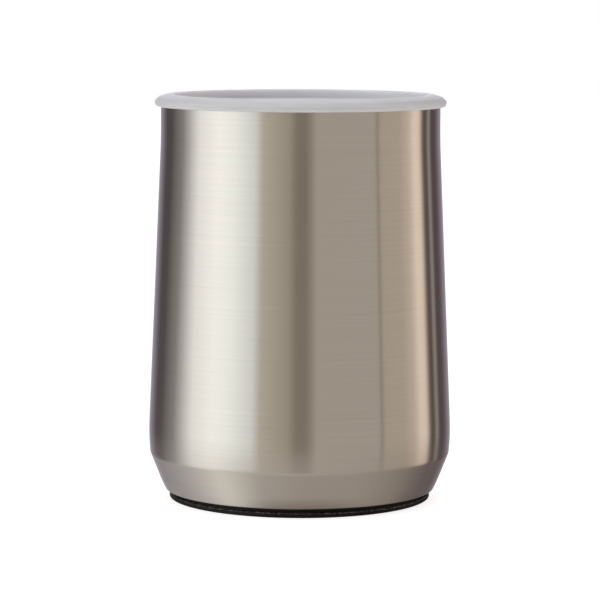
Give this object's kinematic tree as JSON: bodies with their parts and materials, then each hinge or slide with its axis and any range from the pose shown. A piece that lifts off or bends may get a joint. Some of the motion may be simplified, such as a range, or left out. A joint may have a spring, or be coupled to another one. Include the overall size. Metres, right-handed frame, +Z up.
{
  "type": "lidded steel barrel",
  "caption": "Upright double-walled brushed steel barrel with a tapered wall, chamfered foot, rubber foot ring and a frosted press-on lid with a sunken panel.",
  "frame": {"origin": "centre of the foot ring's lower face, which the barrel stands on", "axes": "+Z up the barrel's axis towards the lid; the barrel is round, so +X and +Y are equivalent, and the hidden getter lies on +X"},
  "size_m": [0.1276, 0.1276, 0.1702],
  "materials": {
    "brushed_shell_steel": "circumferentially brushed stainless steel",
    "polished_liner_steel": "electropolished stainless steel",
    "pressed_steel": "pressed mill-finish stainless steel",
    "sealing_glass": "dark solder glass",
    "foil": "thin bright foil",
    "sintered_getter": "dull sintered metal powder",
    "satin_cap_steel": "turned satin stainless steel",
    "adhesive": "double-sided foam adhesive",
    "black_rubber": "matte black moulded rubber",
    "frosted_plastic": "frosted translucent moulded plastic",
    "clear_silicone": "milky translucent silicone"
  },
  "bodies": {
    "vessel": {"outer_shell": "brushed_shell_steel", "inner_liner": "polished_liner_steel", "bottom_plate": "pressed_steel", "port_seal": "sealing_glass", "reflector_foil": "foil", "getter_pellet": "sintered_getter", "getter_strap": "pressed_steel", "base_cap": "satin_cap_steel", "cap_tape": "adhesive", "foot_ring": "black_rubber"},
    "lid": {"lid_cover": "frosted_plastic", "lid_gasket": "clear_silicone"}
  },
  "joints": [
    {"name": "lid_lift", "type": "slide", "parent": "vessel", "child": "lid", "axis": [0, 0, 1], "range_m": [0, 0.12]}
  ]
}
